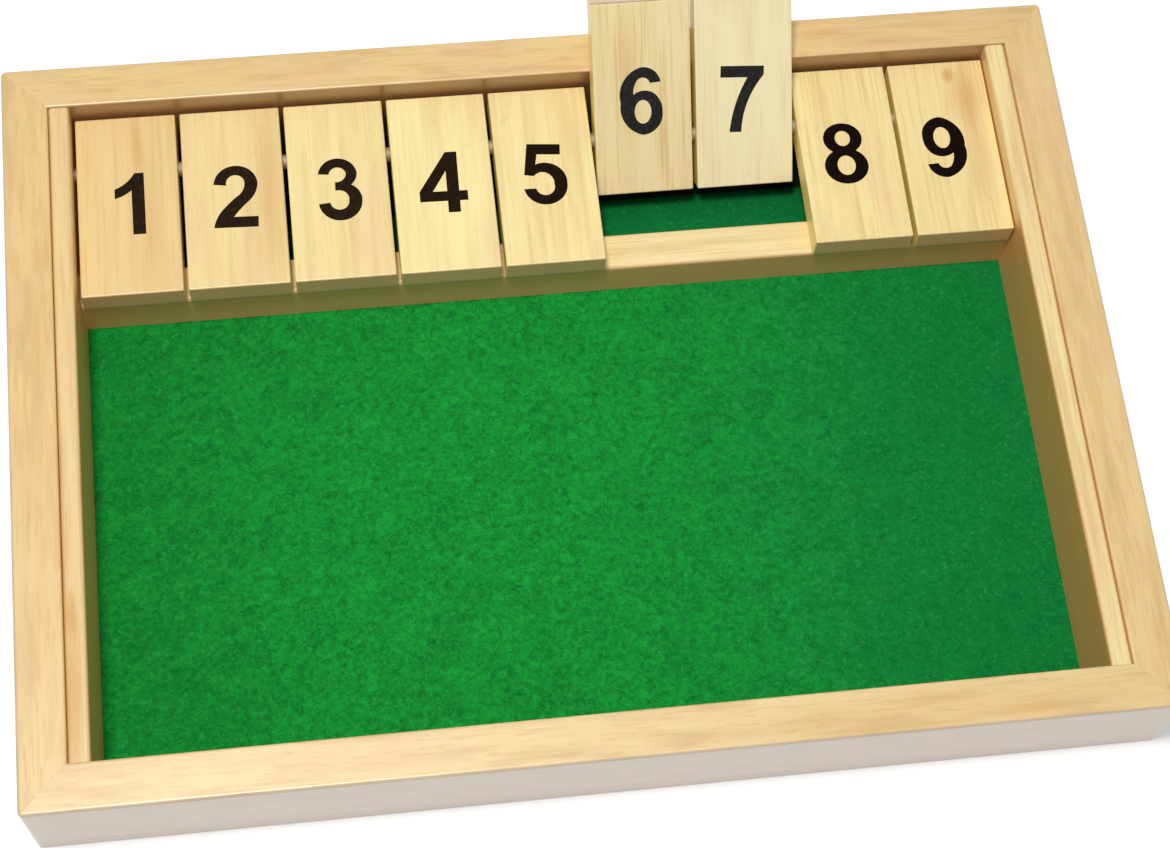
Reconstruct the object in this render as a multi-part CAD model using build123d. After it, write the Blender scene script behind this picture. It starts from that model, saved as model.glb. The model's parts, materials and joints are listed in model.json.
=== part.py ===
from build123d import *
import math
import os

# Shut the box game: a mitred wooden tray with a felt floor, a cross bar, and nine
# numbered tiles that flip over on one steel rod at the back.
# Millimetres. +X runs right along the numbers, +Y towards the tiles, +Z up.
# The origin is the centre of the underside.

# ---- frame ----
box_width = 291.2
box_depth = 207.5
rail_thickness = 12.3
rim_rise = 6.1             # rail tops above the lying tiles
corner_round = 1.5         # upright outer corners
rim_round = 0.9            # outer top edges of the rails
rim_inner_round = 0.7      # inner top edges of the rails
foot_round = 0.6           # lower outer edges of the rails

# ---- floor ----
panel_thickness = 4.0
rabbet_depth = 6.0         # how far the floor panel reaches under each rail
panel_clearance = 0.15     # glue gap round the floor panel
felt_thickness = 1.4

# ---- side strips, which hold the rod ----
strip_thickness = 5.6
strip_drop = 0.7           # strip tops below the rail tops
strip_round = 1.2          # top edges of the strips

# ---- tiles ----
tile_count = 9
tile_length = 54.0
tile_thickness = 8.3
tile_gap = 1.25            # between neighbouring tiles
left_end_gap = 0.9         # between the first tile and the left strip
right_end_gap = 0.35       # between the last tile and the right strip
tile_round = 0.45          # all edges of a tile
rod_to_tail = 15.0         # from the rod's axis to the tile's short end
flipped_tiles = (6, 7)     # tiles that lean on the back rail; the others lie forward
rest_clearance = 0.1       # under a lying tile, above the cross bar
lean_clearance = 0.15      # between a flipped tile and the back rail's edge

# ---- rod ----
rod_diameter = 4.0
rod_running_clearance = 0.08
rod_seat_clearance = 0.03
rod_end_clearance = 0.2
rod_end_chamfer = 0.3

# ---- cross bar ----
bar_depth = 10.4
bar_round = 1.2            # upper long edges
tile_overhang = 1.1        # lying tiles reach past the bar's front face
tail_wall_clearance = 0.6  # a turning tile's short end to the back rail
tail_felt_clearance = 2.0  # a turning tile's short end to the felt

# ---- stamped numerals ----
numeral_height = 18.7
stamp_depth = 0.25         # recess pressed into the wood
ink_thickness = 0.2
# Each numeral's place on its tile: shift right and shift towards its own top, both in
# shares of the numeral's height, and tilt clockwise in degrees.
numeral_placing = {
    1: (0.019, 0.005, 0.0),
    2: (0.024, 0.0, 2.0),
    3: (0.008, 0.0, 0.5),
    4: (0.003, -0.005, 1.0),
    5: (-0.008, 0.011, 4.5),
    6: (-0.019, -0.048, 0.0),
    7: (-0.035, -0.112, 3.0),
    8: (-0.083, -0.005, 0.5),
    9: (-0.083, -0.005, 181.0),
}

# ---- worked out from the sizes above ----
inner_width = box_width - 2 * rail_thickness
inner_depth = box_depth - 2 * rail_thickness
span = inner_width - 2 * strip_thickness
tile_width = (span - left_end_gap - right_end_gap - (tile_count - 1) * tile_gap) / tile_count
tile_pitch = tile_width + tile_gap
first_tile_x = -span / 2 + left_end_gap + tile_width / 2

tail_radius = math.hypot(rod_to_tail, tile_thickness / 2)
rod_to_free_end = tile_length - rod_to_tail
floor_top = panel_thickness + felt_thickness
bar_height = tail_radius + tail_felt_clearance - tile_thickness / 2 - rest_clearance
rod_z = floor_top + bar_height + rest_clearance + tile_thickness / 2
rod_y = inner_depth / 2 - tail_wall_clearance - tail_radius
rod_axis = Axis((0, rod_y, rod_z), (-1, 0, 0))
box_height = rod_z + tile_thickness / 2 + rim_rise
strip_height = box_height - strip_drop - floor_top
bar_front = rod_y - rod_to_free_end + tile_overhang

# A flipped tile touches the rounded inner edge of the back rail.
edge_centre_y = inner_depth / 2 + rim_inner_round - rod_y
edge_centre_z = box_height - rim_inner_round - rod_z
face_to_edge_centre = tile_thickness / 2 + rim_inner_round + lean_clearance
lean_angle = math.degrees(
    math.atan2(edge_centre_z, edge_centre_y)
    + math.asin(face_to_edge_centre / math.hypot(edge_centre_y, edge_centre_z))
)
flip_angle = 180 - lean_angle

ON_FLOOR = (Align.CENTER, Align.CENTER, Align.MIN)


# ---- frame and floor ----
def edges_at(shape, axis, reaches):
    """The edges along an axis whose middle passes the test."""
    return [edge for edge in shape.edges().filter_by(axis) if reaches(edge.center())]


def frame_ring():
    """All four rails in one, with the rabbet for the floor panel and every edge rounded."""
    ring = Box(box_width, box_depth, box_height, align=ON_FLOOR)
    ring -= Box(inner_width, inner_depth, box_height, align=ON_FLOOR)
    rabbet = 2 * rabbet_depth
    ring -= Box(inner_width + rabbet, inner_depth + rabbet, panel_thickness, align=ON_FLOOR)

    ring = fillet(edges_at(ring, Axis.Z, lambda p: abs(p.X) > inner_width / 2 + rabbet_depth), corner_round)
    outer = [
        edge for edge in ring.edges()
        if abs(edge.center().X) > inner_width / 2 + rabbet_depth
        or abs(edge.center().Y) > inner_depth / 2 + rabbet_depth
    ]
    ring = fillet([edge for edge in outer if edge.center().Z > box_height - rim_round / 2], rim_round)
    top_face = ring.faces().sort_by(Axis.Z)[-1]
    ring = fillet(top_face.inner_wires()[0].edges(), rim_inner_round)
    bottom_face = ring.faces().sort_by(Axis.Z)[0]
    return fillet(bottom_face.outer_wire().edges(), foot_round)


def rail(ring, turn, length, depth):
    """One mitred rail: the part of the ring over a trapezium with 45 degree ends."""
    outer = length / 2
    inner = outer - rail_thickness
    near = -depth / 2
    far = near + rail_thickness
    plan = make_face(Polyline((-outer, near), (outer, near), (inner, far), (-inner, far), close=True))
    return ring & (Rot(0, 0, turn) * extrude(plan, box_height))


def floor_panel():
    lap = 2 * (rabbet_depth - panel_clearance)
    return Box(inner_width + lap, inner_depth + lap, panel_thickness, align=ON_FLOOR)


def felt():
    return Pos(0, 0, panel_thickness) * Box(inner_width, inner_depth, felt_thickness, align=ON_FLOOR)


# ---- strips, cross bar and rod ----
def along_x(radius, length):
    return Rot(0, 90, 0) * Cylinder(radius, length)


def side_strip(side):
    """The strip inside a side rail, standing on the felt; side is -1 at the left, 1 at the right."""
    strip = Box(strip_thickness, inner_depth, strip_height, align=ON_FLOOR)
    strip = fillet(edges_at(strip, Axis.Y, lambda p: p.Z > strip_height / 2), strip_round)
    strip = Pos(side * (inner_width - strip_thickness) / 2, 0, floor_top) * strip
    seat = along_x(rod_diameter / 2 + rod_seat_clearance, box_width)
    return strip - Pos(0, rod_y, rod_z) * seat


def cross_bar():
    bar = Box(span, bar_depth, bar_height, align=ON_FLOOR)
    bar = fillet(edges_at(bar, Axis.X, lambda p: p.Z > bar_height / 2), bar_round)
    return Pos(0, bar_front + bar_depth / 2, floor_top) * bar


def pivot_rod():
    rod = along_x(rod_diameter / 2, inner_width - 2 * rod_end_clearance)
    rod = chamfer(rod.edges().filter_by(GeomType.CIRCLE), rod_end_chamfer)
    return Pos(0, rod_y, rod_z) * rod


# ---- numerals ----
# Each outline stands on y = 0, about x = 0. Their common height is that of numeral_one.
def region(start, *steps):
    """A flat face. A step is the end of a straight side, or an arc's (through, end) pair."""
    sides = []
    here = start
    for step in steps + (start,):
        if isinstance(step[0], tuple):
            sides.append(ThreePointArc(here, step[0], step[1]))
            here = step[1]
        elif step != here:
            sides.append(Line(here, step))
            here = step
    return make_face(sides)


def numeral_one():
    return region(
        (0.6, 0), (4.0, 0), (4.0, 18.5), (1.5, 18.5), ((-0.8, 15.7), (-3.9, 13.9)),
        (-3.9, 11.0), ((-1.5, 11.9), (0.6, 13.3)),
    )


def numeral_two():
    return region(
        (-5.9, 0), (5.9, 0), (5.9, 3.2), (-0.6, 3.2), ((1.3, 5.6), (3.4, 7.8)), ((5.2, 10.3), (5.85, 13.3)),
        ((-0.1, 18.7), (-5.9, 13.1)), (-2.5, 12.7), ((-0.1, 15.8), (2.35, 13.2)), ((1.8, 11.0), (0.1, 9.2)),
        ((-1.5, 7.65), (-3.0, 6.0)), ((-5.0, 3.1), (-5.9, 0)),
    )


def numeral_three():
    return region(
        (-5.55, 14.2), ((-0.3, 18.75), (4.9, 14.1)), ((4.5, 12.2), (3.2, 10.5)), ((5.2, 8.6), (5.9, 5.6)),
        ((0.1, -0.2), (-5.8, 5.1)), (-2.7, 5.4), ((0, 3.1), (2.35, 5.8)), ((1.6, 8.2), (-0.4, 8.95)),
        (-1.2, 8.95), (-1.1, 11.5), ((1.3, 12.4), (1.95, 14.0)), ((-0.4, 15.95), (-2.7, 13.9)),
    )


def numeral_four():
    return region(
        (0.85, 0), (4.15, 0), (4.15, 3.5), (6.4, 3.5), (6.4, 6.5), (4.15, 6.5), (4.15, 18.5), (1.0, 18.5),
        (-6.6, 6.6), (-6.6, 3.5), (0.85, 3.5),
    ) - region((0.85, 6.5), (0.85, 12.7), (-3.0, 6.5))


def numeral_five():
    return region(
        (-5.0, 18.5), (4.1, 18.5), (4.1, 15.3), (-2.3, 15.3), (-2.7, 12.2), ((3.9, 11.2), (5.9, 6.5)),
        ((0, -0.1), (-5.9, 4.6)), (-2.6, 4.8), ((-0.1, 2.8), (2.35, 6.2)), ((1.2, 9.0), (-1.0, 9.85)),
        ((-2.3, 9.4), (-3.2, 8.6)), (-5.8, 8.9),
    )


def numeral_six():
    return region(
        (5.4, 14.5), (2.4, 14.3), ((0.5, 15.9), (-1.4, 14.7)), ((-2.0, 13.2), (-2.2, 11.3)),
        ((0.7, 12.3), (3.9, 11.1)), ((5.3, 8.9), (5.75, 6.2)), ((4.3, 1.8), (0.1, -0.1)),
        ((-4.15, 2.75), (-5.75, 9.2)), ((-4.5, 15.7), (0.1, 18.8)), ((3.6, 17.7), (5.4, 14.5)),
    ) - Pos(0.35, 6.4) * Ellipse(2.3, 3.3)


def numeral_seven():
    return region(
        (-6.2, 18.5), (5.8, 18.5), (5.8, 16.0), ((2.05, 9.6), (0.2, 0)), (-3.1, 0), ((-1.7, 7.9), (1.3, 15.3)),
        (-6.2, 15.3),
    )


def numeral_eight():
    loops = Pos(0, 13.95) * Ellipse(5.4, 4.85) + Pos(0, 5.4) * Ellipse(6.05, 5.5)
    return loops - Pos(0, 14.0) * Ellipse(2.1, 2.35) - Pos(0, 5.6) * Ellipse(2.5, 3.0)


def drawn_height():
    return numeral_one().bounding_box().size.Y


# The nine is a six, which its tilt turns upside down.
NUMERALS = (
    numeral_one, numeral_two, numeral_three, numeral_four, numeral_five,
    numeral_six, numeral_seven, numeral_eight, numeral_six,
)


def numeral_pair(number, depth, sink):
    """The numeral on both faces of a tile, in the tile's frame, as slabs sunk below each face."""
    right, up, tilt = numeral_placing[number]
    shape = scale(NUMERALS[number - 1](), numeral_height / drawn_height())
    shape = Rot(0, 0, -tilt) * Pos(0, -numeral_height / 2) * shape
    middle = rod_to_tail - tile_length / 2
    top_of_slab = tile_thickness / 2 - sink
    place = Pos(right * numeral_height, middle + up * numeral_height, top_of_slab - depth)
    upper = place * extrude(shape, depth)
    lower = upper.rotate(Axis((0, middle, 0), (1, 0, 0)), 180)
    return upper, lower


# ---- tiles ----
def blank_tile():
    """A plain tile, lying, with the rod's axis at the origin."""
    tile = Box(tile_width, tile_length, tile_thickness)
    tile = fillet(tile.edges(), tile_round)
    tile = Pos(0, rod_to_tail - tile_length / 2, 0) * tile
    return tile - along_x(rod_diameter / 2 + rod_running_clearance, box_width)


def stamped_tile(number):
    tile = blank_tile()
    for recess in numeral_pair(number, stamp_depth, 0):
        tile -= recess
    return tile


def ink(number):
    upper, lower = numeral_pair(number, ink_thickness, stamp_depth - ink_thickness)
    return Compound([upper.solid(), lower.solid()])


def seated(number, shape):
    """Moves a shape from the tile's frame to the tile's place on the rod."""
    shape = Pos(first_tile_x + (number - 1) * tile_pitch, rod_y, rod_z) * shape
    if number in flipped_tiles:
        shape = shape.rotate(rod_axis, flip_angle)
    return shape


def nodes():
    ring = frame_ring()
    made = {
        "rail_front": rail(ring, 0, box_width, box_depth),
        "rail_right": rail(ring, 90, box_depth, box_width),
        "rail_back": rail(ring, 180, box_width, box_depth),
        "rail_left": rail(ring, 270, box_depth, box_width),
        "floor_panel": floor_panel(),
        "felt": felt(),
        "side_strip_left": side_strip(-1),
        "side_strip_right": side_strip(1),
        "cross_bar": cross_bar(),
        "pivot_rod": pivot_rod(),
    }
    for number in range(1, tile_count + 1):
        made[f"tile_{number}"] = seated(number, stamped_tile(number))
        made[f"numeral_{number}"] = seated(number, ink(number))
    return made


os.makedirs("parts", exist_ok=True)
for name, shape in nodes().items():
    export_step(shape, f"parts/{name}.step")
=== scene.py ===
import functools
import json
import math
import random

import bmesh
import bpy
from bpy.props import FloatProperty, FloatVectorProperty, IntProperty, PointerProperty
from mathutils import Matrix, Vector, noise


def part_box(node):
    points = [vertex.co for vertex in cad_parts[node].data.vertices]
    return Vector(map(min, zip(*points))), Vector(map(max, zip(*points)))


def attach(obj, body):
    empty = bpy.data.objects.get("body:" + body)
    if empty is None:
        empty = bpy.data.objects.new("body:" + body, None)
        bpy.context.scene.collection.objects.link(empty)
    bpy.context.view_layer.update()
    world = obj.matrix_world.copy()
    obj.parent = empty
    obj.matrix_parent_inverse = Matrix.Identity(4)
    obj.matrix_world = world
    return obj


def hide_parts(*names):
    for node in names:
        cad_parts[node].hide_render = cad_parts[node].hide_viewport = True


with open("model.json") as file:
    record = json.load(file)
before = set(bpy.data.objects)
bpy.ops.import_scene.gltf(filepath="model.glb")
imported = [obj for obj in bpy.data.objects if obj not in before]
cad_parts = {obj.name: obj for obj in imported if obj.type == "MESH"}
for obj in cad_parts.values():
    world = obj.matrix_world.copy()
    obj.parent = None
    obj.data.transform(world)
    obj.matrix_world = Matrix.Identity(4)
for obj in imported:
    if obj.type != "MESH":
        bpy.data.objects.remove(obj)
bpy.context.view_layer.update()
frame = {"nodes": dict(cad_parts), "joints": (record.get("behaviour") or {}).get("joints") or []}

bl_info = {
    "name": "Shut the box looks",
    "version": (1, 0, 0),
    "blender": (4, 5, 0),
    "location": "3D View > Sidebar > Shut the box",
    "description": "Wood, felt, ink and steel for a shut the box tray, with a plain white stage",
    "category": "Object",
}

MM = 0.001
PER_MM = (1 / MM, 1 / MM, 1 / MM)

# Seeds of the random draws. Rails and strips count up from theirs, and a tile adds its number.
RAIL_SEED = 11
STRIP_SEED = 21
BAR_SEED = 23
PANEL_SEED = 24
TILE_SEED = 30
FIBRE_SEED = 5

# The way each rail's grain runs, how tan its wood is and how dark the painted shade on its inward
# side is, from 0 to 1.
RAIL_WOOD = {
    "rail_front": ("X", 0.0, 0.6), "rail_right": ("Y", 0.65, 0.1),
    "rail_back": ("X", 0.8, 0.78), "rail_left": ("Y", 1.0, 0.5),
}
# The rails' streaks are this share of the set length.
RAIL_FIGURE = 0.4

# How tan each side strip's wood is, from 0 to 1.
STRIP_WOOD = {"side_strip_left": 0.7, "side_strip_right": 0.0}

# Each tile's wood: how tan it is, how creamy, and how plain its lines are, from 0 to 1.
# Tiles 6 and 7 are creamier partly in their own wood and partly as painted light, for the lower
# light on their faces as they stand leaning back.
TILE_WOOD = {
    1: (0.95, 0.0, 0.8), 2: (0.5, 0.0, 0.5), 3: (0.2, 0.0, 0.45),
    4: (0.0, 0.0, 0.35), 5: (0.2, 0.0, 0.45), 6: (0.75, 0.5, 1.0),
    7: (0.0, 1.0, 0.4), 8: (0.2, 0.0, 0.8), 9: (0.3, 0.0, 0.8),
}

# Brown patches in a piece's wood, in millimetres from its middle, and a share:
# across the grain, along it, half width, half length, strength.
RAIL_STAINS = {
    "rail_front": [
        (-2, 95, 7, 60, 0.25), (-4.5, 60, 1, 14, 0.5),
        (-3, 105, 1.2, 12, 0.5), (2, 84, 1.2, 10, 0.4),
    ],
    "rail_right": [(1, 40, 1.5, 26, 0.35), (-2, -30, 1.3, 30, 0.35)],
    "rail_back": [
        (1, 82, 1.6, 7, 0.6), (-3, 98, 1.4, 10, 0.5),
        (2, 112, 1.2, 10, 0.4), (0, -90, 4, 40, 0.12),
    ],
    "rail_left": [(1, 10, 1.5, 30, 0.25)],
}
STRIP_STAINS = {
    "side_strip_left": [(-0.9, -54, 1.6, 6, 0.9), (-0.9, -76, 1.9, 20, 0.75)],
}
TILE_STAINS = {
    1: [(3, 16, 1.6, 9, 0.6), (6, -4, 2.5, 22, 0.4)],
    2: [(10, 0, 4, 26, 0.5)],
    5: [(7, 14, 1.5, 14, 0.3)],
    6: [(-4, -6, 3, 18, 0.35), (5, 8, 1.6, 16, 0.35)],
    8: [(-5, 6, 2, 18, 0.35)],
    9: [(3.5, 22.5, 1.8, 2.4, 0.9), (7.5, 16, 4.5, 9, 0.6), (8, -4, 3, 18, 0.35)],
}
# How far the streaks and the fibres bend a patch's edge, and where the edge starts and ends.
PATCH_STREAKS = 1.6
PATCH_FIBRES = 0.8
PATCH_EDGES = (0.1, 1.5)

# Where each pattern of the wood starts to show in its noise, and where it shows in full.
RING_EDGES = (0.42, 0.78)
STREAK_EDGES = (0.42, 0.72)
FIBRE_EDGES = (0.4, 0.85)
BAND_EDGES = (0.46, 0.68)
LINE_EDGES = (0.5, 0.7)
CLOUD_EDGES = (0.48, 0.75)
PORE_EDGES = (0.66, 0.76)

# How much each pattern adds to the dark figure of the wood.
RING_SHARE = 0.15
STREAK_SHARE = 0.45
FIBRE_SHARE = 0.1
BAND_SHARE = 0.3

# Widths and lengths of the wood's largest patterns, in millimetres, and how far a ring wanders.
WANDER_SIZE = (30, 60)
CLOUD_SIZE = (9, 45)
RING_WANDER = 7

# How much a face has to look along the grain to be an end, or across it to be a side.
END_EDGES = (0.7, 0.95)
SIDE_EDGES = (0.6, 0.95)

# Where a mitre's line starts to fade and has gone, and how far in from a rail's outer face its
# outside ends and its inside starts.
MITRE_EDGES = (0.05 * MM, 0.25 * MM)
INSIDE_EDGES = (1.0 * MM, 2.0 * MM)

# How far, in millimetres, the painted shadow line on a tile's ends starts and ends above its
# underside.
END_SHADOW_LINE = (2.4, 0.6)

# Each numeral's ink: how brown it is, and how grey, both from 0 to 1.
INK_TINTS = {
    1: (1.0, 0.0), 2: (1.0, 0.0), 3: (1.0, 0.0), 4: (0.7, 0.0), 5: (0.4, 0.0),
    6: (0.0, 1.0), 7: (0.0, 1.0), 8: (0.0, 0.0), 9: (0.0, 0.0),
}
# Sizes of the patches in the ink and of the lines on the rod, in millimetres each way.
INK_PATCH = (0.6, 1.5, 1.0)
ROD_LINE = (40, 0.12, 0.12)
# How bright thin ink is beside thick ink, and the rod's lines beside the rod.
THIN_INK = 2.2
LINE_STEEL = 0.7

# Sizes of the felt's patterns, in millimetres.
CLUMP = 1.8
THREAD = 0.5
HAIR = 1.3
MOTTLE = 7
SPECK = 1.0
DENT = (1.6, 0.9, 1.0)
DRIFT = 60

# Sizes of the nap's waves, in millimetres, and the height of each as a share of its depth.
NAP_FINE = 1.7
NAP_WIDE = 5.0
NAP_SHARE = 0.35

# A loose fibre is a tube of this many links, with these corners round it.
FIBRE_LINKS = 5
FIBRE_CORNERS = (math.radians(90), math.radians(210), math.radians(330))

# How far the floor lies below the tray, so that the two don't share a plane.
FLOOR_GAP = 0.05 * MM
FLOOR_WHITE = (0.92, 0.92, 0.92, 1.0)


# ---- measures that come from the frame ----
def hinge(number):
    """The joint that a tile turns on."""
    wanted = f"tile_{number}_flip"
    return next(joint for joint in frame["joints"] if joint["name"] == wanted)


def rod_place():
    return Vector(hinge(1)["pos_m"])


def laying_turn(number):
    """The turn about +X, in radians, from a tile's rest pose to lying on the cross bar."""
    joint = hinge(number)
    return math.radians(joint["range_deg"][0] * joint["axis"][0])


def middle(node):
    low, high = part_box(node)
    return (low + high) / 2


def laid_middle(number):
    """The middle of a tile once it lies on the cross bar."""
    lying = middle("tile_1")
    return Vector((middle(f"tile_{number}").x, lying.y, lying.z))


# ---- colours ----
def opaque(color):
    """A colour with its alpha, or a field as it is."""
    return color if isinstance(color, Field) else (*color[:3], 1.0)


def between(share, first, second):
    return [a + (b - a) * share for a, b in zip(first, second)]


def toned(color, share):
    return [part * share for part in color]


# ---- shader building ----
class Field:
    """A socket of a finish. Arithmetic on number sockets adds Math nodes."""

    def __init__(self, finish, socket):
        self.finish = finish
        self.socket = socket

    def math(self, operation, first, second=0.0):
        return self.finish.node("ShaderNodeMath", {"operation": operation}, {0: first, 1: second})

    def __add__(self, other):
        return self.math("ADD", self, other)

    def __radd__(self, other):
        return self.math("ADD", other, self)

    def __sub__(self, other):
        return self.math("SUBTRACT", self, other)

    def __rsub__(self, other):
        return self.math("SUBTRACT", other, self)

    def __mul__(self, other):
        return self.math("MULTIPLY", self, other)

    def __rmul__(self, other):
        return self.math("MULTIPLY", other, self)

    def __truediv__(self, other):
        return self.math("DIVIDE", self, other)

    def __rtruediv__(self, other):
        return self.math("DIVIDE", other, self)

    def __pow__(self, other):
        return self.math("POWER", self, other)

    def __rpow__(self, other):
        return self.math("POWER", other, self)

    def __abs__(self):
        return self.math("ABSOLUTE", self)

    def at_least(self, other):
        return self.math("MAXIMUM", self, other)

    def at_most(self, other):
        return self.math("MINIMUM", self, other)

    def rise(self, low, high):
        """0 below low, 1 above high, and smooth between them."""
        settings = {"interpolation_type": "SMOOTHSTEP"}
        inputs = {0: self, 1: low, 2: high, 3: 0.0, 4: 1.0}
        return self.finish.node("ShaderNodeMapRange", settings, inputs)


class Finish:
    """The node tree of a material or of a world."""

    def __init__(self, owner):
        self.owner = owner
        owner.use_nodes = True
        self.tree = owner.node_tree
        self.tree.nodes.clear()

    def node(self, kind, settings, inputs, output=0):
        """Adds a node, sets its settings and then its inputs, and returns one of its outputs."""
        made = self.tree.nodes.new(kind)
        for key, value in settings.items():
            setattr(made, key, value)
        for key, value in inputs.items():
            if isinstance(value, Field):
                self.tree.links.new(value.socket, made.inputs[key])
            else:
                made.inputs[key].default_value = value
        return Field(self, made.outputs[output]) if len(made.outputs) else None

    def place(self):
        """The object's own coordinates, in metres."""
        return self.node("ShaderNodeTexCoord", {}, {}, "Object")

    def place_mm(self):
        return self.vectors("MULTIPLY", self.place(), PER_MM)

    def split(self, vector):
        """The three number fields of a vector."""
        first = self.node("ShaderNodeSeparateXYZ", {}, {0: vector})
        return [Field(self, socket) for socket in first.socket.node.outputs]

    def join(self, x, y, z):
        return self.node("ShaderNodeCombineXYZ", {}, {0: x, 1: y, 2: z})

    def vectors(self, operation, first, second):
        settings = {"operation": operation}
        return self.node("ShaderNodeVectorMath", settings, {0: first, 1: second})

    def noise(self, place, size, detail=2.0, roughness=0.5, distortion=0.0):
        """Noise from 0 to 1 over a place in millimetres. size is that of its waves each way."""
        scaled = self.vectors("DIVIDE", place, size)
        inputs = {"Vector": scaled, "Scale": 1.0, "Detail": detail, "Roughness": roughness}
        return self.node("ShaderNodeTexNoise", {}, {**inputs, "Distortion": distortion})

    def blend(self, share, first, second):
        """A colour between two colours."""
        inputs = {0: share, 6: opaque(first), 7: opaque(second)}
        return self.node("ShaderNodeMix", {"data_type": "RGBA"}, inputs, 2)

    def relief(self, height, strength, distance):
        inputs = {"Strength": strength, "Distance": distance, "Height": height}
        return self.node("ShaderNodeBump", {}, inputs)

    def end(self, shader):
        self.node("ShaderNodeOutputMaterial", {}, {"Surface": shader})
        return self.owner

    def surface(self, **sockets):
        """Ends the tree in a Principled shader. Base_Color stands for the socket Base Color."""
        named = {name.replace("_", " "): value for name, value in sockets.items()}
        return self.end(self.node("ShaderNodeBsdfPrincipled", {}, named))


def new_finish(name):
    return Finish(bpy.data.materials.new(name))


def wear(node, material):
    """Gives a CAD node's object its finish."""
    shown = frame["nodes"][node]
    for slot in shown.material_slots:
        slot.material = material


# ---- settings ----
def color_setting(label, description, default):
    return FloatVectorProperty(
        name=label, description=description, default=default, size=3, subtype="COLOR",
        min=0, max=1,
    )


def length_setting(label, description, default):
    return FloatProperty(
        name=label, description=description, default=default, unit="LENGTH", min=0,
    )


def share_setting(label, description, default):
    return FloatProperty(
        name=label, description=description, default=default, subtype="FACTOR", min=0, max=1,
    )


class WoodLook(bpy.types.PropertyGroup):
    rail_light: color_setting("Rail", "Colour of the palest rail", (0.845, 0.632, 0.286))
    rail_tan: color_setting("Tan rail", "Colour of the tannest rail", (0.82, 0.575, 0.235))
    strip_light: color_setting("Strip", "The bar and the palest strip", (0.945, 0.765, 0.375))
    rail_dark: color_setting("Rail grain", "Darkest streaks of the rails", (0.66, 0.40, 0.15))
    tile_light: color_setting("Tile", "Colour of the yellowest tile", (1.0, 0.85, 0.39))
    tile_warm: color_setting("Tan tile", "Colour of the tannest tile", (0.86, 0.62, 0.26))
    # Partly painted light on the standing tiles 6 and 7.
    tile_cream: color_setting("Creamy tile", "Colour of the creamiest tile", (1.0, 0.89, 0.54))
    tile_dark: color_setting("Tile grain", "Darkest streaks of the tiles", (0.73, 0.49, 0.20))
    blush: color_setting("Blush", "Pink patches in all the wood", (0.86, 0.54, 0.28))
    # The pore colour also paints the shadow line along the lower edge of the tiles' ends.
    pore: color_setting("Pores", "Short dark dashes along the grain", (0.40, 0.24, 0.10))
    stain: color_setting("Stain", "Brown patches and lines in the wood", (0.66, 0.36, 0.09))
    # Painted shade on the strips' inward sides, redder to offset the felt's green bounce.
    shaded_side: color_setting("Bare wood", "Inward sides of the strips", (0.74, 0.32, 0.09))
    # Painted light on the cross bar's sides: redder than its top, to offset the felt's green
    # bounce.
    bar_front: color_setting("Bar sides", "Sides of the cross bar", (0.96, 0.42, 0.19))
    # Painted shade on the tiles' long sides, seen in the gaps between them.
    tile_side: color_setting("Tile sides", "Long sides of the tiles", (0.92, 0.74, 0.24))
    # The ends' own darker grain, made redder still as painted light against the felt's green
    # bounce.
    end_grain: color_setting("End grain", "Ends of the pieces", (0.86, 0.43, 0.25))
    pale_end: color_setting("Pale end grain", "Ends of the creamiest tiles", (0.83, 0.54, 0.30))
    # Painted shade on the rails' inward sides.
    groove_shade: color_setting("Groove", "Inward sides of the rails", (0.30, 0.14, 0.04))
    # A painted reflection of the white floor on the rails' outsides.
    floor_reflection: color_setting("Bloom", "Grey cast on the outsides of the rails", (0.49, 0.43, 0.42))
    panel: color_setting("Panel", "Colour of the floor panel", (0.60, 0.42, 0.23))
    ring_spacing: length_setting("Ring spacing", "From one growth ring to the next", 3.2 * MM)
    streak_width: length_setting("Streak width", "Width of a soft streak", 2.8 * MM)
    streak_length: length_setting("Streak length", "Length of a soft streak", 45 * MM)
    fibre_width: length_setting("Fibre width", "Width of the finest lines", 0.35 * MM)
    pore_length: length_setting("Pore length", "Length of a pore's dash", 5 * MM)
    relief: length_setting("Relief", "Depth of the grain's relief", 0.06 * MM)
    lacquer: share_setting("Lacquer", "How much lacquer covers all but the rails", 0.55)
    rail_lacquer: share_setting("Rail lacquer", "How much lacquer covers the rails", 1.0)
    line_share: share_setting("Line colour", "How brown the thin lines of the grain are", 0.42)
    pore_share: share_setting("Pore colour", "How dark the pores are", 0.14)
    # How far the painted shade on the sides moves them from the tops' colour.
    shaded_side_share: share_setting("Bare sides", "How far the sides differ from the tops", 0.85)
    # How strong the painted reflection on the rails' outsides is.
    floor_reflection_share: share_setting("Bloom share", "How much bloom the outsides have", 0.6)


class FeltLook(bpy.types.PropertyGroup):
    light: color_setting("Felt", "Colour of the felt's raised fibres", (0.014, 0.47, 0.056))
    dark: color_setting("Felt shade", "Colour between the fibres", (0.001, 0.12, 0.017))
    # Also the painted shade on the felt behind the cross bar.
    cool: color_setting("Felt, cool", "Bluer green towards the right", (0.001, 0.17, 0.045))
    fleck: color_setting("Felt fleck", "Colour of the loose fibres", (0.04, 0.52, 0.12))
    # Painted shadow of the standing tiles on the felt behind the cross bar.
    felt_shadow: color_setting("Deep felt", "Felt at the back, under the tiles", (0.001, 0.012, 0.004))
    nap_depth: length_setting("Nap depth", "How uneven the felt's top is", 0.12 * MM)
    step: length_setting("Mesh step", "Distance between the felt mesh's points", 0.9 * MM)
    fibre_count: IntProperty(
        name="Loose fibres", description="Loose fibres on the felt", default=2400, min=0,
    )
    fibre_length: length_setting("Fibre length", "Length of the longest loose fibre", 5 * MM)
    fibre_width: length_setting("Fibre width", "Thickness of a loose fibre", 0.16 * MM)


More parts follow.
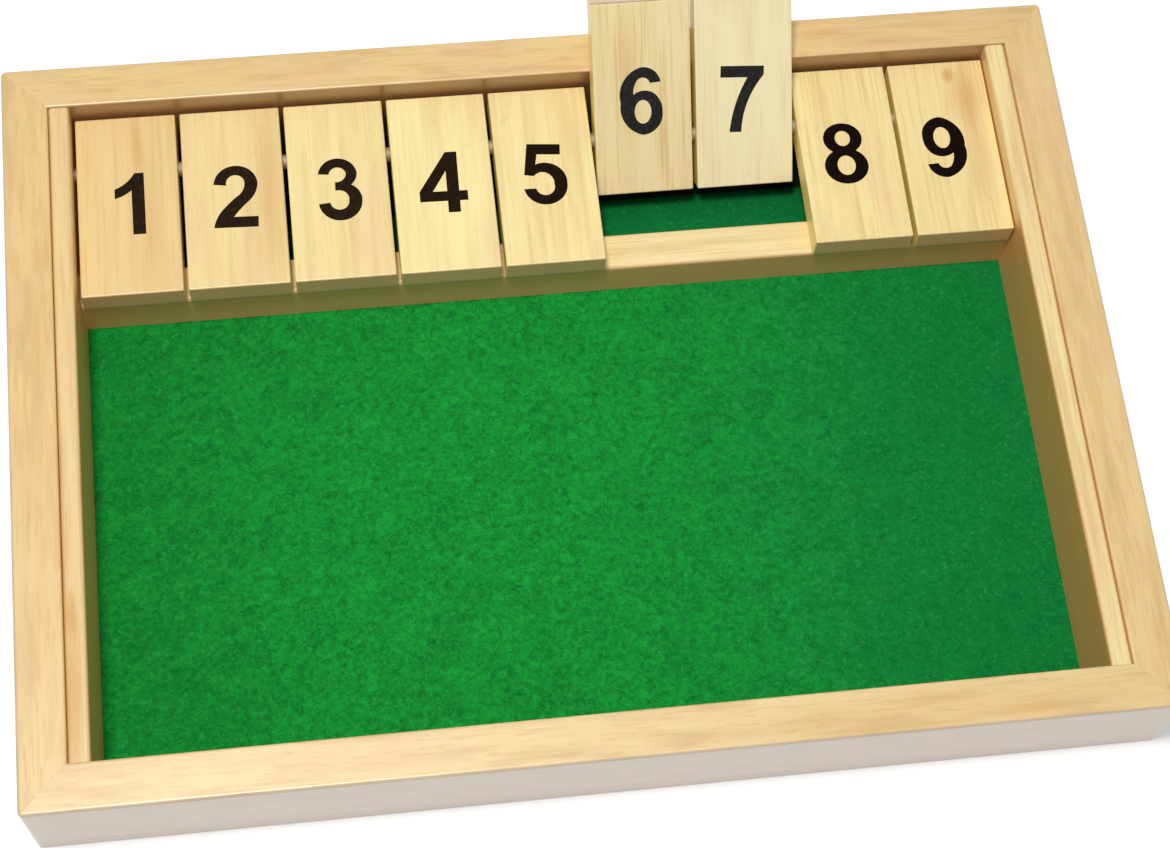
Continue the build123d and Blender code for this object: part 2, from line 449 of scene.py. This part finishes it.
class MarkLook(bpy.types.PropertyGroup):
    ink: color_setting("Ink", "Colour of the darkest numerals", (0.0065, 0.0032, 0.002))
    brown_ink: color_setting("Brown ink", "The brownest numerals", (0.018, 0.0105, 0.005))
    grey_ink: color_setting("Grey ink", "The greyest numerals", (0.019, 0.0195, 0.019))
    steel: color_setting("Steel", "Colour of the rod", (0.50, 0.42, 0.30))


class StageLook(bpy.types.PropertyGroup):
    camera_place: FloatVectorProperty(
        name="Camera", description="Where the camera stands",
        default=(-0.05842, -0.24936, 0.60353), subtype="TRANSLATION", unit="LENGTH",
    )
    camera_turn: FloatVectorProperty(
        name="Camera turn", description="The camera's rotation about X, Y and Z",
        default=(math.radians(22.84), math.radians(-3.36), math.radians(-6.46)),
        subtype="EULER",
    )
    camera_lens: FloatProperty(
        name="Lens", description="Focal length", default=73.34, unit="CAMERA",
    )
    key_place: FloatVectorProperty(
        name="Key lamp", description="Where the overhead lamp hangs",
        default=(-0.18, -0.09, 1.20), subtype="TRANSLATION", unit="LENGTH",
    )
    key_size: length_setting("Key size", "Width of the overhead lamp", 0.22)
    key_power: FloatProperty(
        name="Key power", description="Power of the overhead lamp", default=9.5, unit="POWER",
    )
    sky: share_setting("Sky", "Strength of the light from all round", 0.31)
    floor_glow: share_setting("Floor glow", "Extra white of the floor where it is seen", 0.3)
    floor_size: length_setting("Floor size", "Width of the floor", 12.0)


# ---- wood ----
class Cut:
    """How a piece was cut from its board: which way its grain runs, its middle and its seed.

    lacquer is how much of it covers the piece, and turn brings the piece from rest to the bench.
    figure is the length of its streaks and lines how plain its thin lines are, 1 for those of the
    settings. The seed's draws place the piece in the log.
    """

    def __init__(self, grain, place, seed, lacquer, turn=0.0, figure=1.0, lines=1.0):
        draw = random.Random(seed)
        self.grain = grain
        self.place = place
        self.lacquer = lacquer
        self.turn = turn
        self.figure = figure
        self.lines = lines
        self.pith = (draw.uniform(-14, 14), -draw.uniform(25, 60))
        self.offset = [draw.uniform(0, 400) for _ in range(3)]


class Grain:
    """The patterns of a piece's wood over its bench place, each from 0 to 1."""

    def __init__(self, finish, cut, look, place):
        self.finish = finish
        self.place = place
        self.grown = finish.vectors("ADD", finish.join(*place), cut.offset)
        fibre = look.fibre_width / MM
        streak = look.streak_width / MM
        length = look.streak_length / MM * cut.figure

        self.rings = self.ring_pattern(cut, look)
        self.streaks = self.pattern(streak, length, 3.0, 0.55)
        self.fibres = self.pattern(fibre, length / 4, 2.0, 0.6)
        self.bands = self.pattern(streak * 2.2, length * 1.6, 1.5).rise(*BAND_EDGES)
        self.lines = self.pattern(streak * 0.35, length * 0.7, 2.0, 0.6).rise(*LINE_EDGES)
        self.clouds = self.pattern(*CLOUD_SIZE).rise(*CLOUD_EDGES)
        self.pores = self.pattern(fibre * 1.6, look.pore_length / MM, 1.0).rise(*PORE_EDGES)

    def pattern(self, width, length, detail=2.0, roughness=0.5):
        return self.finish.noise(self.grown, (width, width, length), detail, roughness)

    def ring_pattern(self, cut, look):
        """Growth rings about a pith that lies below the piece."""
        across, through, along = self.place
        wander = self.pattern(*WANDER_SIZE) - 0.5
        sideways = across - cut.pith[0] + wander * RING_WANDER
        radius = (sideways ** 2.0 + (through - cut.pith[1]) ** 2.0) ** 0.5
        size = (look.ring_spacing / MM, 1, 1)
        return self.finish.noise(self.finish.join(radius, 0.0, along * 0.01), size, 1.5)

    def figure(self):
        """How dark the rings, streaks, fibres and bands make the wood together."""
        rings = self.rings.rise(*RING_EDGES) * RING_SHARE
        streaks = self.streaks.rise(*STREAK_EDGES) * STREAK_SHARE
        fibres = self.fibres.rise(*FIBRE_EDGES) * FIBRE_SHARE
        return (rings + streaks + fibres + self.bands * BAND_SHARE).at_most(1.0)

    def patch(self, middle_across, middle_along, half_width, half_length, strength):
        """A soft patch whose edge follows the grain."""
        across, _, along = self.place
        sideways = (across - middle_across) / half_width
        lengthways = (along - middle_along) / half_length
        edge = (sideways ** 2.0 + lengthways ** 2.0) ** 0.5
        edge = edge + (self.streaks - 0.5) * PATCH_STREAKS + (self.fibres - 0.5) * PATCH_FIBRES
        return (1 - edge.rise(*PATCH_EDGES)) * strength

    def height(self):
        return self.fibres * 0.5 + self.rings * 0.3 - self.pores * 0.8


def bench_place(finish, cut):
    """Millimetres across, through and along a piece from its middle, as it lies on the bench."""
    place = finish.place()
    if cut.turn:
        turned = {"Vector": place, "Center": rod_place(), "Angle": cut.turn}
        place = finish.node("ShaderNodeVectorRotate", {"rotation_type": "X_AXIS"}, turned)
    place = finish.vectors("SUBTRACT", place, cut.place)
    x, y, z = finish.split(finish.vectors("MULTIPLY", place, PER_MM))
    return (x, z, y) if cut.grain == "Y" else (y, z, x)


def facing(finish, cut):
    """How far a face looks along the grain and across it, both from 0 to 1."""
    normal = finish.node("ShaderNodeTexCoord", {}, {}, "Normal")
    if cut.turn:
        turned = {"Vector": normal, "Angle": cut.turn}
        normal = finish.node("ShaderNodeVectorRotate", {"rotation_type": "X_AXIS"}, turned)
    x, y, _ = finish.split(normal)
    return (abs(y), abs(x)) if cut.grain == "Y" else (abs(x), abs(y))


def wood(name, cut, look, light, dark, stains=(), shade=None):
    """A lacquered wood finish, with the brown patches that stains lists.

    shade may change the colour last: it gets the finish, the look, the bench place, the ways that
    a face looks and the colour so far.
    """
    finish = new_finish(name)
    place = bench_place(finish, cut)
    grain = Grain(finish, cut, look, place)
    color = finish.blend(grain.figure(), light, dark)
    color = finish.blend(grain.lines * (look.line_share * cut.lines), color, look.stain)
    color = finish.blend(grain.clouds * 0.45, color, look.blush)
    color = finish.blend(grain.pores * look.pore_share, color, look.pore)
    for stain in stains:
        color = finish.blend(grain.patch(*stain), color, look.stain)
    faces = facing(finish, cut)
    # Ends take the end grain's colour, which is partly painted light.
    ends = faces[0].rise(*END_EDGES) * (0.65 + 0.3 * grain.fibres)
    color = finish.blend(ends, color, look.end_grain)
    if shade:
        color = shade(finish, look, place, faces, color)
    return finish.surface(
        Base_Color=color,
        Roughness=0.42 + grain.fibres * 0.14 + grain.pores * 0.2,
        Normal=finish.relief(grain.height(), 0.5, look.relief),
        Coat_Weight=cut.lacquer,
        Coat_Roughness=0.28,
    )


def bar_shade(finish, look, place, faces, color):
    """Redder sides: painted light that offsets the felt's green bounce."""
    return finish.blend(faces[1].rise(*SIDE_EDGES) * look.shaded_side_share, color, look.bar_front)


def strip_shade(finish, look, place, faces, color):
    """Painted shade on the inward sides, darker and redder against the felt's green bounce, and
    less of it where a side stands above the tiles beside it and takes their bounce.
    """
    _, through, along = place
    strip = middle("side_strip_left") / MM
    tile_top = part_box("tile_1")[1].z / MM
    bar_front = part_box("cross_bar")[0].y / MM
    above = (through + (strip.z - tile_top)).rise(-1.0, 1.0)
    beside = (along + (strip.y - bar_front)).rise(-2.0, 2.0)
    shaded_side = faces[1].rise(*SIDE_EDGES) * (1 - above * beside * 0.8)
    return finish.blend(shaded_side * look.shaded_side_share, color, look.shaded_side)


def tile_shade(cream, finish, look, place, faces, color):
    """Paler ends on creamy wood, golden sides as painted shade in the gaps, and a painted shadow
    line along the ends' lower edge.
    """
    _, through, _ = place
    low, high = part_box("tile_1")
    half = (high.z - low.z) / 2 / MM
    color = finish.blend(faces[0].rise(*END_EDGES) * min(2 * cream, 1), color, look.pale_end)
    # Painted shade on the long sides.
    color = finish.blend(faces[1].rise(*SIDE_EDGES) * look.shaded_side_share, color, look.tile_side)
    # A painted shadow along the ends' lower edge, where a tile overhangs the cross bar.
    below = (through * -1.0).rise(half - END_SHADOW_LINE[0], half - END_SHADOW_LINE[1])
    return finish.blend(below * faces[0].rise(0.4, 0.8) * 0.85, color, look.pore)


def rail_shade(inward, finish, look, place, faces, color):
    """A fine line on the mitres, a painted reflection of the white floor on the outsides, and
    painted shade on the inward sides, as dark as inward says.
    """
    sideways = faces[1]
    x, y, _ = finish.split(finish.place())
    from_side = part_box("rail_right")[1].x - abs(x)
    from_end = -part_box("rail_front")[0].y - abs(y)
    mitre = 1 - abs(from_side - from_end).rise(*MITRE_EDGES)
    color = finish.blend(mitre * 0.08, color, look.pore)
    inside = from_side.at_most(from_end).rise(*INSIDE_EDGES)
    # A painted reflection of the white floor on the outsides.
    outside = (1 - inside) * sideways.rise(0.2, 0.8)
    color = finish.blend(outside * look.floor_reflection_share, color, look.floor_reflection)
    # Painted shade on the inward sides.
    return finish.blend(inside * sideways.rise(*SIDE_EDGES) * inward, color, look.groove_shade)


class SHUTBOX_OT_rails(bpy.types.Operator):
    """Finish the four mitred rails"""

    bl_idname = "shutbox.rails"
    bl_label = "Rails"

    def execute(self, context):
        look = context.scene.wood_look
        for seed, (node, (grain, tan, inward)) in enumerate(RAIL_WOOD.items(), RAIL_SEED):
            cut = Cut(grain, middle(node), seed, look.rail_lacquer, figure=RAIL_FIGURE)
            light = between(tan, look.rail_light, look.rail_tan)
            stains = RAIL_STAINS.get(node, ())
            shade = functools.partial(rail_shade, inward)
            wear(node, wood(f"{node}_finish", cut, look, light, look.rail_dark, stains, shade))
        return {"FINISHED"}


class SHUTBOX_OT_strips(bpy.types.Operator):
    """Finish the side strips, the cross bar and the floor panel"""

    bl_idname = "shutbox.strips"
    bl_label = "Strips, bar and floor"

    def execute(self, context):
        look = context.scene.wood_look
        for seed, (node, tan) in enumerate(STRIP_WOOD.items(), STRIP_SEED):
            light = between(tan, look.strip_light, look.rail_tan)
            stains = STRIP_STAINS.get(node, ())
            self.piece(look, node, "Y", seed, light, look.rail_dark, stains, strip_shade)
        self.piece(
            look, "cross_bar", "X", BAR_SEED, look.strip_light, look.tile_dark, shade=bar_shade,
        )
        self.piece(look, "floor_panel", "X", PANEL_SEED, look.panel, look.rail_dark)
        return {"FINISHED"}

    def piece(self, look, node, grain, seed, light, dark, stains=(), shade=None):
        cut = Cut(grain, middle(node), seed, look.lacquer)
        wear(node, wood(f"{node}_finish", cut, look, light, dark, stains, shade))


class SHUTBOX_OT_tiles(bpy.types.Operator):
    """Finish the nine tiles, each from its own piece of wood"""

    bl_idname = "shutbox.tiles"
    bl_label = "Tiles"

    def execute(self, context):
        look = context.scene.wood_look
        for number, (tan, cream, lines) in TILE_WOOD.items():
            node = f"tile_{number}"
            seed = TILE_SEED + number
            turn = laying_turn(number)
            cut = Cut("Y", laid_middle(number), seed, look.lacquer, turn, lines=lines)
            light = between(tan, look.tile_light, look.tile_warm)
            light = between(cream, light, look.tile_cream)
            dark = between(0.3 + cream * 0.5, look.tile_dark, light)
            stains = TILE_STAINS.get(number, ())
            shade = functools.partial(tile_shade, cream)
            wear(node, wood(f"{node}_finish", cut, look, light, dark, stains, shade))
        return {"FINISHED"}


# ---- numerals and rod ----
class SHUTBOX_OT_marks(bpy.types.Operator):
    """Finish the stamped numerals and the steel rod"""

    bl_idname = "shutbox.marks"
    bl_label = "Numerals and rod"

    def execute(self, context):
        look = context.scene.mark_look
        for number, (brown, grey) in INK_TINTS.items():
            color = between(grey, between(brown, look.ink, look.brown_ink), look.grey_ink)
            node = f"numeral_{number}"
            wear(node, self.ink(f"{node}_finish", color))
        wear("pivot_rod", self.steel(look))
        return {"FINISHED"}

    def ink(self, name, color):
        """Ink that is thinner, and so paler, in small patches."""
        finish = new_finish(name)
        mottle = finish.noise(finish.place_mm(), INK_PATCH, 3.0, 0.6)
        return finish.surface(
            Base_Color=finish.blend(mottle.rise(0.45, 0.75), color, toned(color, THIN_INK)),
            Roughness=0.5 + mottle * 0.2,
            Normal=finish.relief(mottle, 0.3, 0.03 * MM),
            Specular_IOR_Level=0.02,
        )

    def steel(self, look):
        """Drawn steel, with fine lines along the rod."""
        finish = new_finish("rod_finish")
        drawn = finish.noise(finish.place_mm(), ROD_LINE, 2.0)
        return finish.surface(
            Base_Color=finish.blend(drawn * 0.35, look.steel, toned(look.steel, LINE_STEEL)),
            Metallic=1.0,
            Roughness=0.68 + drawn * 0.12,
            Normal=finish.relief(drawn, 0.2, 0.01 * MM),
        )


# ---- felt ----
class SHUTBOX_OT_felt(bpy.types.Operator):
    """Lay the felt, with an uneven nap and loose fibres on it"""

    bl_idname = "shutbox.felt"
    bl_label = "Felt"

    def execute(self, context):
        look = context.scene.felt_look
        sheet = self.sheet(look)
        fibres = self.fibres(look)
        return {"FINISHED"}

    def sheet(self, look):
        """A closed slab with a fine grid of points on top."""
        low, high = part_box("felt")
        columns = round((high.x - low.x) / look.step)
        rows = round((high.y - low.y) / look.step)
        slab = bmesh.new()
        top = [
            [
                slab.verts.new(self.nap(look, low, high, i / columns, j / rows))
                for i in range(columns + 1)
            ]
            for j in range(rows + 1)
        ]
        for lower, upper in zip(top, top[1:]):
            for i in range(columns):
                slab.faces.new((lower[i], lower[i + 1], upper[i + 1], upper[i]))
        right = [row[-1] for row in top[1:]]
        left = [row[0] for row in top[-2:0:-1]]
        rim = top[0] + right + top[-1][-2::-1] + left
        foot = [slab.verts.new((vert.co.x, vert.co.y, low.z)) for vert in rim]
        for i, vert in enumerate(rim):
            follower = (i + 1) % len(rim)
            slab.faces.new((vert, foot[i], foot[follower], rim[follower]))
        slab.faces.new(foot[::-1])
        sheet = self.piece("felt_sheet", slab, self.finish("felt_finish", look, 0.0))
        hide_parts("felt")
        for face in sheet.data.polygons:
            face.use_smooth = abs(face.normal.z) > 0.5
        return sheet

    def nap(self, look, low, high, across, along):
        """A point of the felt's top, at shares of its width and depth."""
        x = low.x + (high.x - low.x) * across
        y = low.y + (high.y - low.y) * along
        place = Vector((x, y, 0)) / MM
        fine = NAP_SHARE * noise.noise(place / NAP_FINE)
        wide = NAP_SHARE * noise.noise(place / NAP_WIDE)
        return x, y, high.z - look.nap_depth * min(max(0.5 + fine + wide, 0.0), 1.0)

    def fibres(self, look):
        """Short bent fibres that lie on the nap, as thin closed tubes."""
        low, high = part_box("felt")
        draw = random.Random(FIBRE_SEED)
        web = bmesh.new()
        for _ in range(look.fibre_count):
            x = draw.uniform(low.x, high.x)
            y = draw.uniform(low.y, high.y)
            self.fibre(web, look, draw, Vector((x, y, high.z)))
        fibres = self.piece("felt_fibres", web, self.finish("felt_fibre_finish", look, 0.22))
        for face in fibres.data.polygons:
            face.use_smooth = True
        return fibres

    def fibre(self, web, look, draw, start):
        """A chain of rings that turns a little at each step and sinks at both ends."""
        low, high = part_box("felt")
        heading = draw.uniform(0, 2 * math.pi)
        bend = draw.uniform(-0.7, 0.7)
        step = look.fibre_length * draw.uniform(0.45, 1.0) / FIBRE_LINKS
        lift = look.fibre_width * draw.uniform(0.2, 1.6)
        radius = look.fibre_width / 2 * draw.uniform(0.7, 1.2)
        place = start.copy()
        rings = []
        for link in range(FIBRE_LINKS + 1):
            arch = math.sin(math.pi * link / FIBRE_LINKS)
            spot = place + Vector((0, 0, lift * arch - look.nap_depth * 0.6))
            spot.x = min(max(spot.x, low.x + 2 * radius), high.x - 2 * radius)
            spot.y = min(max(spot.y, low.y + 2 * radius), high.y - 2 * radius)
            side = Vector((-math.sin(heading), math.cos(heading), 0))
            rings.append(self.ring(web, spot, side, radius * (0.5 + 0.5 * arch)))
            place += Vector((math.cos(heading), math.sin(heading), 0)) * step
            heading += bend
        self.tube(web, rings)

    def ring(self, web, spot, side, radius):
        return [
            web.verts.new(
                spot + side * radius * math.cos(turn) + Vector((0, 0, radius * math.sin(turn)))
            )
            for turn in FIBRE_CORNERS
        ]

    def tube(self, web, rings):
        """The closed skin of a chain of rings."""
        corners = len(FIBRE_CORNERS)
        for first, second in zip(rings, rings[1:]):
            for i in range(corners):
                follower = (i + 1) % corners
                web.faces.new((first[i], first[follower], second[follower], second[i]))
        web.faces.new(rings[0][::-1])
        web.faces.new(rings[-1])

    def piece(self, name, shape, material):
        shape.normal_update()
        mesh = bpy.data.meshes.new(name)
        shape.to_mesh(mesh)
        shape.free()
        made = bpy.data.objects.new(name, mesh)
        bpy.context.scene.collection.objects.link(made)
        mesh.materials.append(material)
        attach(made, "tray")
        return made

    def finish(self, name, look, raised):
        """Mottled green, with painted shade towards the left and right edges and behind the cross
        bar, and a painted shadow under the standing tiles. raised, from 0 to 1, moves it to the
        colour of the loose fibres.
        """
        finish = new_finish(name)
        place = finish.place_mm()
        x, y, _ = finish.split(place)

        def pattern(size, *shape):
            return finish.noise(place, (size, size, size), *shape)

        clumps = pattern(CLUMP, 3.0, 0.6, 0.6)
        threads = pattern(THREAD, 3.0, 0.65, 1.6)
        hairs = 1 - abs(pattern(HAIR, 2.0, 0.6, 2.2) - 0.5).rise(0.0, 0.05)
        mottles = pattern(MOTTLE, 2.0, 0.6, 0.8).rise(0.35, 0.65)
        specks = pattern(SPECK, 1.0, 0.5, 1.0).rise(0.6, 0.7)
        dents = finish.noise(place, DENT, 1.0, 0.5, 1.2).rise(0.6, 0.72)
        drifts = pattern(DRIFT, 1.0)

        pile = clumps.rise(0.25, 0.75) * 0.44 + threads.rise(0.35, 0.65) * 0.25
        pile = pile + hairs * 0.19 + mottles * 0.17
        color = finish.blend(pile.at_most(1.0), look.dark, look.light)
        # Painted shade towards the felt's left and right edges.
        color = finish.blend(self.sides(x, drifts) * 0.25, color, look.dark)
        from_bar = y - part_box("cross_bar")[1].y / MM
        cooler = ((x + drifts * 60) / 260).rise(0.05, 0.75) * 0.65
        # Painted shade behind the cross bar, in the cool colour.
        channel_shade = from_bar.rise(-4.0, 6.0) * 0.8
        color = finish.blend(cooler.at_least(channel_shade), color, look.cool)
        color = finish.blend((specks * 0.25).at_least(raised), color, look.fleck)
        color = finish.blend(dents * 0.28, color, look.dark)
        # Painted shadow of the standing tiles, deepest far behind the cross bar.
        color = finish.blend(from_bar.rise(6.0, 18.0) * 0.3, color, look.felt_shadow)
        color = finish.blend(from_bar.rise(16.5, 18.0), color, look.felt_shadow)
        return finish.surface(
            Base_Color=color,
            Roughness=0.95,
            Normal=finish.relief(threads * 0.6 + clumps * 0.4, 0.8, 0.35 * MM),
            Specular_IOR_Level=0.1,
            Sheen_Weight=0.12,
            Sheen_Roughness=0.5,
            Sheen_Tint=(0.5, 0.9, 0.55, 1.0),
        )

    def sides(self, x, drifts):
        """How much painted shade the felt takes: 0 at its middle and up to 1 at its left and right
        edges.
        """
        half_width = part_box("felt")[1].x / MM
        return (((x - 10) / half_width) ** 2.0 + (drifts - 0.5) * 0.6).rise(0.05, 0.9)


# ---- stage ----
class SHUTBOX_OT_stage(bpy.types.Operator):
    """Set the white floor, the sky, the lamp and the camera"""

    bl_idname = "shutbox.stage"
    bl_label = "Stage"

    def execute(self, context):
        look = context.scene.stage_look
        self.floor(look)
        self.sky(look)
        self.lamp("key_lamp", look.key_place, look.key_size, look.key_power)
        self.camera(look)
        context.scene.view_settings.view_transform = "Standard"
        return {"FINISHED"}

    def add(self, name, data):
        made = bpy.data.objects.new(name, data)
        bpy.context.scene.collection.objects.link(made)
        return made

    def seen(self, finish):
        """1 for rays from the camera and for those that show the background in gloss or glass."""
        path = finish.node("ShaderNodeLightPath", {}, {})
        sockets = path.socket.node.outputs
        camera, glossy, clear = (
            Field(finish, sockets[name])
            for name in ("Is Camera Ray", "Is Glossy Ray", "Is Transmission Ray")
        )
        return camera.at_least(glossy).at_least(clear)

    def floor(self, look):
        half = look.floor_size / 2
        shape = bmesh.new()
        corners = [(-half, -half), (half, -half), (half, half), (-half, half)]
        shape.faces.new([shape.verts.new((x, y, -FLOOR_GAP)) for x, y in corners])
        mesh = bpy.data.meshes.new("floor")
        shape.to_mesh(mesh)
        shape.free()
        mesh.materials.append(self.floor_finish(look))
        self.add("floor", mesh)

    def floor_finish(self, look):
        """Matt white that keeps the shadow, with a little glow where it is seen."""
        finish = new_finish("floor_finish")
        matt = finish.node("ShaderNodeBsdfDiffuse", {}, {"Color": FLOOR_WHITE})
        glow = {"Color": FLOOR_WHITE, "Strength": self.seen(finish) * look.floor_glow}
        glow = finish.node("ShaderNodeEmission", {}, glow)
        return finish.end(finish.node("ShaderNodeAddShader", {}, {0: matt, 1: glow}))

    def sky(self, look):
        """White where it is seen, and dimmer as a light."""
        world = bpy.data.worlds.new("sky")
        bpy.context.scene.world = world
        finish = Finish(world)
        strength = look.sky + (1 - look.sky) * self.seen(finish)
        white = {"Color": (1, 1, 1, 1), "Strength": strength}
        background = finish.node("ShaderNodeBackground", {}, white)
        finish.node("ShaderNodeOutputWorld", {}, {"Surface": background})

    def lamp(self, name, place, size, power):
        """A round lamp that looks at the tray's middle."""
        light = bpy.data.lights.new(name, "AREA")
        light.shape = "DISK"
        light.size = size
        light.energy = power
        made = self.add(name, light)
        made.location = place
        made.rotation_euler = (-Vector(place)).to_track_quat("-Z", "Y").to_euler()

    def camera(self, look):
        data = bpy.data.cameras.new("camera")
        data.lens = look.camera_lens
        data.clip_end = 100
        made = self.add("camera", data)
        made.location = look.camera_place
        made.rotation_euler = look.camera_turn
        bpy.context.scene.camera = made


# ---- add-on ----
STEPS = (
    SHUTBOX_OT_rails, SHUTBOX_OT_strips, SHUTBOX_OT_tiles, SHUTBOX_OT_marks, SHUTBOX_OT_felt,
    SHUTBOX_OT_stage,
)
LOOKS = {
    "wood_look": WoodLook, "felt_look": FeltLook, "mark_look": MarkLook, "stage_look": StageLook,
}


class SHUTBOX_PT_panel(bpy.types.Panel):
    """Buttons and settings for the tray's looks"""

    bl_idname = "SHUTBOX_PT_panel"
    bl_label = "Shut the box"
    bl_space_type = "VIEW_3D"
    bl_region_type = "UI"
    bl_category = "Shut the box"

    def draw(self, context):
        for step in STEPS:
            self.layout.operator(step.bl_idname)
        for name in LOOKS:
            settings = getattr(context.scene, name)
            column = self.layout.column()
            for setting in settings.bl_rna.properties:
                if setting.identifier not in ("rna_type", "name"):
                    column.prop(settings, setting.identifier)


def register():
    for group in LOOKS.values():
        bpy.utils.register_class(group)
    for name, group in LOOKS.items():
        setattr(bpy.types.Scene, name, PointerProperty(type=group))
    for kind in (*STEPS, SHUTBOX_PT_panel):
        bpy.utils.register_class(kind)


def unregister():
    for kind in (SHUTBOX_PT_panel, *reversed(STEPS)):
        bpy.utils.unregister_class(kind)
    for name, group in LOOKS.items():
        delattr(bpy.types.Scene, name)
        bpy.utils.unregister_class(group)


def main():
    register()
    for step in STEPS:
        family, name = step.bl_idname.split(".")
        getattr(getattr(bpy.ops, family), name)()


if __name__ == "__main__":
    main()
